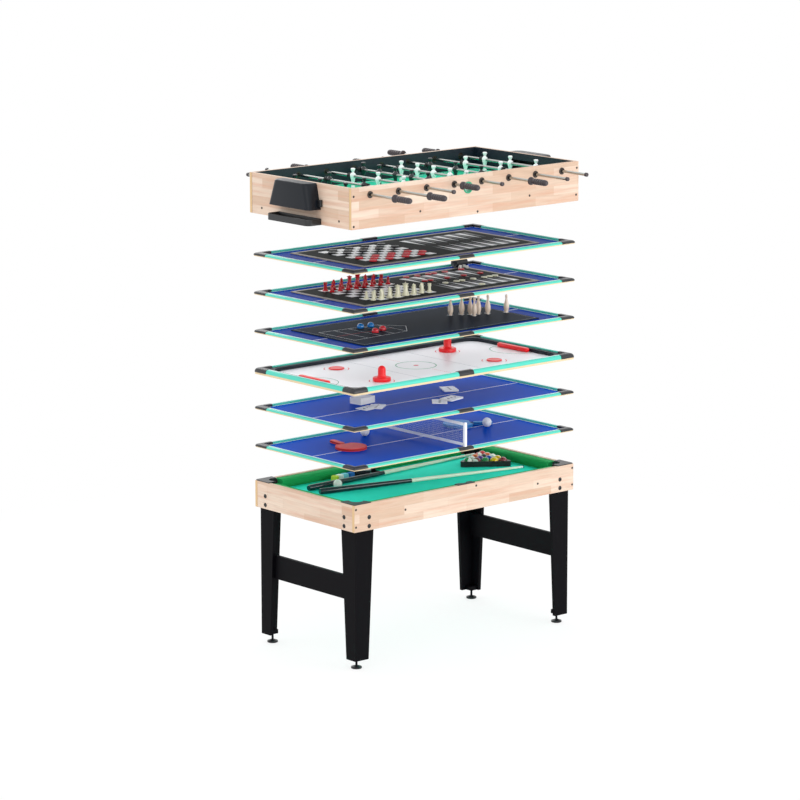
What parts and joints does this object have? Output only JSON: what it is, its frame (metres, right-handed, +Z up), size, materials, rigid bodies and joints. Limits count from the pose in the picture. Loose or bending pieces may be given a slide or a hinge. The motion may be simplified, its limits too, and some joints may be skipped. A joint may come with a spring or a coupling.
{
  "type": "multi game table",
  "caption": "Pool table on four legs, with lift-on game boards and a table football top shown raised one above the other.",
  "frame": {"origin": "middle of the footprint, on the floor", "axes": "+Z up, +X along the table's length to the right, +Y towards the far long side"},
  "size_m": [1.3838, 1.2184, 1.99],
  "materials": {
    "beech_panel": "satin laminate",
    "black_board": "satin black laminate",
    "black_plastic": "satin",
    "blue_board": "printed, semi-gloss",
    "blue_rubber": "pimpled sheet",
    "chromed_steel": "polished",
    "green_cloth": "felt",
    "green_field": "printed, satin",
    "maple_wood": "varnished",
    "pool_ball_resin": "glossy",
    "red_rubber": "pimpled sheet",
    "slate_laminate": "printed, satin",
    "white_laminate": "semi-gloss",
    "white_plastic": "satin"
  },
  "bodies": {
    "base_table": {"front_apron": "beech_panel", "back_apron": "beech_panel", "left_apron": "beech_panel", "right_apron": "beech_panel", "pool_bed": "green_cloth", "front_left_pocket": "black_plastic", "front_right_pocket": "black_plastic", "back_right_pocket": "black_plastic", "back_left_pocket": "black_plastic", "mid_front_pocket": "black_plastic", "mid_back_pocket": "black_plastic", "front_left_leg": "black_board", "front_right_leg": "black_board", "back_right_leg": "black_board", "back_left_leg": "black_board", "left_leg_stretcher": "black_board", "right_leg_stretcher": "black_board", "front_left_leveling_foot": "black_plastic", "front_right_leveling_foot": "black_plastic", "back_right_leveling_foot": "black_plastic", "back_left_leveling_foot": "black_plastic", "cue_ball": "pool_ball_resin", "racked_balls": "pool_ball_resin", "cue_stick_1": "maple_wood", "cue_stick_2": "maple_wood"},
    "tennis": {"tennis_board": "blue_board", "tennis_net": "white_plastic", "red_paddle": "red_rubber", "blue_paddle": "blue_rubber"},
    "card": {"card_board": "blue_board"},
    "hockey": {"hockey_board": "white_laminate"},
    "shuffleboard": {"shuffleboard_board": "slate_laminate"},
    "chess": {"chess_board": "blue_board", "chess_set": "slate_laminate", "dice_cup": "black_plastic"},
    "checkers": {"checkers_board": "blue_board", "checkers_set": "slate_laminate"},
    "soccer_top": {"soccer_front_wall": "beech_panel", "soccer_back_wall": "beech_panel", "soccer_left_wall": "beech_panel", "left_goal_housing": "black_plastic", "soccer_right_wall": "beech_panel", "right_goal_housing": "black_plastic", "soccer_field": "green_field"},
    "rod_1_slider": {"rod_1_bumper": "black_plastic"},
    "rod_1_turner": {"rod_1": "chromed_steel"},
    "rod_2_slider": {"rod_2_bumper": "black_plastic"},
    "rod_2_turner": {"rod_2": "chromed_steel"},
    "rod_3_slider": {"rod_3_bumper": "black_plastic"},
    "rod_3_turner": {"rod_3": "chromed_steel"},
    "rod_4_slider": {"rod_4_bumper": "black_plastic"},
    "rod_4_turner": {"rod_4": "chromed_steel"},
    "rod_5_slider": {"rod_5_bumper": "black_plastic"},
    "rod_5_turner": {"rod_5": "chromed_steel"},
    "rod_6_slider": {"rod_6_bumper": "black_plastic"},
    "rod_6_turner": {"rod_6": "chromed_steel"},
    "rod_7_slider": {"rod_7_bumper": "black_plastic"},
    "rod_7_turner": {"rod_7": "chromed_steel"},
    "rod_8_slider": {"rod_8_bumper": "black_plastic"},
    "rod_8_turner": {"rod_8": "chromed_steel"}
  },
  "joints": [
    {"name": "tennis_lift", "type": "slide", "parent": "base_table", "child": "tennis", "axis": [0, 0, 1], "range_m": [0, 0.1]},
    {"name": "card_lift", "type": "slide", "parent": "tennis", "child": "card", "axis": [0, 0, 1], "range_m": [0, 0.1]},
    {"name": "hockey_lift", "type": "slide", "parent": "card", "child": "hockey", "axis": [0, 0, 1], "range_m": [0, 0.1]},
    {"name": "shuffleboard_lift", "type": "slide", "parent": "hockey", "child": "shuffleboard", "axis": [0, 0, 1], "range_m": [0, 0.1]},
    {"name": "chess_lift", "type": "slide", "parent": "shuffleboard", "child": "chess", "axis": [0, 0, 1], "range_m": [0, 0.1]},
    {"name": "checkers_lift", "type": "slide", "parent": "chess", "child": "checkers", "axis": [0, 0, 1], "range_m": [0, 0.1]},
    {"name": "soccer_top_lift", "type": "slide", "parent": "checkers", "child": "soccer_top", "axis": [0, 0, 1], "range_m": [0, 0.1]},
    {"name": "rod_1_slide", "type": "slide", "parent": "soccer_top", "child": "rod_1_slider", "axis": [0, 1, 0], "range_m": [-0.105, 0.1284]},
    {"name": "rod_1_spin", "type": "hinge", "parent": "rod_1_slider", "child": "rod_1_turner", "pos_m": [-0.525, -0.0117, 1.957], "axis": [0, 1, 0], "continuous": true},
    {"name": "rod_2_slide", "type": "slide", "parent": "soccer_top", "child": "rod_2_slider", "axis": [0, 1, 0], "range_m": [-0.1667, 0.1667]},
    {"name": "rod_2_spin", "type": "hinge", "parent": "rod_2_slider", "child": "rod_2_turner", "pos_m": [-0.375, 0, 1.957], "axis": [0, 1, 0], "continuous": true},
    {"name": "rod_3_slide", "type": "slide", "parent": "soccer_top", "child": "rod_3_slider", "axis": [0, 1, 0], "range_m": [-0.0945, 0.1389]},
    {"name": "rod_3_spin", "type": "hinge", "parent": "rod_3_slider", "child": "rod_3_turner", "pos_m": [-0.225, -0.0222, 1.957], "axis": [0, 1, 0], "continuous": true},
    {"name": "rod_4_slide", "type": "slide", "parent": "soccer_top", "child": "rod_4_slider", "axis": [0, 1, 0], "range_m": [-0.1163, 0.0291]},
    {"name": "rod_4_spin", "type": "hinge", "parent": "rod_4_slider", "child": "rod_4_turner", "pos_m": [-0.075, 0.0436, 1.957], "axis": [0, 1, 0], "continuous": true},
    {"name": "rod_5_slide", "type": "slide", "parent": "soccer_top", "child": "rod_5_slider", "axis": [0, 1, 0], "range_m": [-0.0473, 0.0981]},
    {"name": "rod_5_spin", "type": "hinge", "parent": "rod_5_slider", "child": "rod_5_turner", "pos_m": [0.075, -0.0254, 1.957], "axis": [0, 1, 0], "continuous": true},
    {"name": "rod_6_slide", "type": "slide", "parent": "soccer_top", "child": "rod_6_slider", "axis": [0, 1, 0], "range_m": [-0.1225, 0.1109]},
    {"name": "rod_6_spin", "type": "hinge", "parent": "rod_6_slider", "child": "rod_6_turner", "pos_m": [0.225, 0.0058, 1.957], "axis": [0, 1, 0], "continuous": true},
    {"name": "rod_7_slide", "type": "slide", "parent": "soccer_top", "child": "rod_7_slider", "axis": [0, 1, 0], "range_m": [-0.1667, 0.1667]},
    {"name": "rod_7_spin", "type": "hinge", "parent": "rod_7_slider", "child": "rod_7_turner", "pos_m": [0.375, 0, 1.957], "axis": [0, 1, 0], "continuous": true},
    {"name": "rod_8_slide", "type": "slide", "parent": "soccer_top", "child": "rod_8_slider", "axis": [0, 1, 0], "range_m": [-0.1109, 0.1225]},
    {"name": "rod_8_spin", "type": "hinge", "parent": "rod_8_slider", "child": "rod_8_turner", "pos_m": [0.525, -0.0058, 1.957], "axis": [0, 1, 0], "continuous": true}
  ]
}
